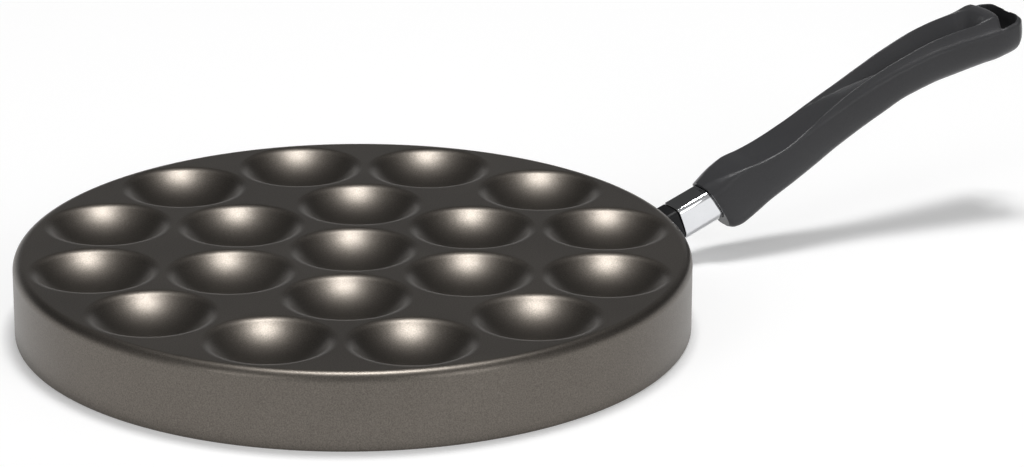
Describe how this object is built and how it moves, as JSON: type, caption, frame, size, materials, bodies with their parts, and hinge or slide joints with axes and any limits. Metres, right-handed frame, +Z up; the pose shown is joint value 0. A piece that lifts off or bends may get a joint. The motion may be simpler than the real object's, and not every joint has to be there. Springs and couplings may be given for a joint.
{
  "type": "poffertjes pan",
  "caption": "Round cast pan with rings of shallow cups in a flat deck and a long moulded handle with a hanging eye.",
  "frame": {"origin": "middle of the whole pan's footprint, on the surface it stands on", "axes": "+X from the pan towards the end of the handle, +Z up; the object is a mirror image of itself across the XZ plane"},
  "size_m": [0.4356, 0.26, 0.0839],
  "materials": {
    "nonstick_coating": "bronze-brown metallic non-stick coating on cast aluminium, satin with fine flake",
    "black_metal": "black coated cast aluminium",
    "rivet_metal": "plain aluminium rivets",
    "chrome_plate": "chrome-plated sheet steel",
    "black_phenolic": "matt black phenolic moulding with fine grain",
    "screw_steel": "zinc-plated steel"
  },
  "bodies": {
    "root": {"pan_body": "nonstick_coating", "handle_bracket": "black_metal", "bracket_rivet_left": "rivet_metal", "bracket_rivet_right": "rivet_metal", "flame_guard": "chrome_plate", "handle": "black_phenolic", "handle_screw": "screw_steel", "screw_washer": "screw_steel", "lock_washer": "screw_steel"}
  },
  "joints": []
}
